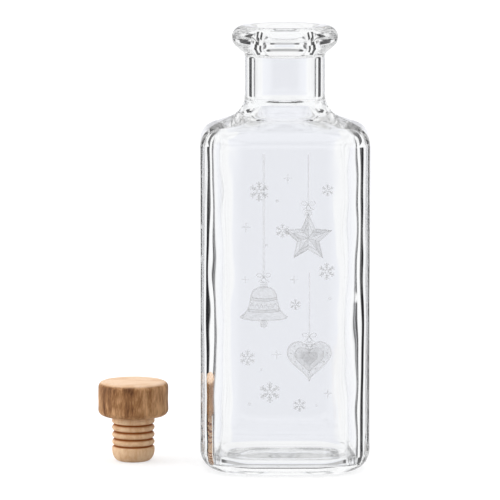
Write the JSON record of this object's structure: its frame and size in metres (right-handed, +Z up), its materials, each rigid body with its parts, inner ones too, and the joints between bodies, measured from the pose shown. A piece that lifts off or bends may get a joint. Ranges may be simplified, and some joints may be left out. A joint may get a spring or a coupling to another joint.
{
  "type": "apothecary bottle",
  "caption": "Square clear glass apothecary bottle with rounded corners and a rolled lip, with its ribbed stopper under a round wooden head standing beside it.",
  "frame": {"origin": "on the bottle's axis at the plane that the bottle stands on", "axes": "+Z up along the bottle's axis, -Y towards the front panel that carries the print, +X to the right as seen from the front; the stopper stands on the -X side"},
  "size_m": [0.1157, 0.072, 0.1874],
  "materials": {
    "clear_glass": "clear, smooth pressed flint glass with soft black and white edge lines and a pale frosted print on the front",
    "turned_wood": "mid-brown turned wood with fine streaky grain, satin oil",
    "plug_cream": "pale peach moulded stopper material with soft rings, matt"
  },
  "bodies": {
    "bottle": {"bottle": "clear_glass"},
    "stopper": {"stopper_head": "turned_wood", "stopper_plug": "plug_cream"}
  },
  "joints": [
    {"name": "stopper_lift", "type": "slide", "parent": "bottle", "child": "stopper", "axis": [0, 0, 1], "range_m": [0, 0.19]}
  ]
}
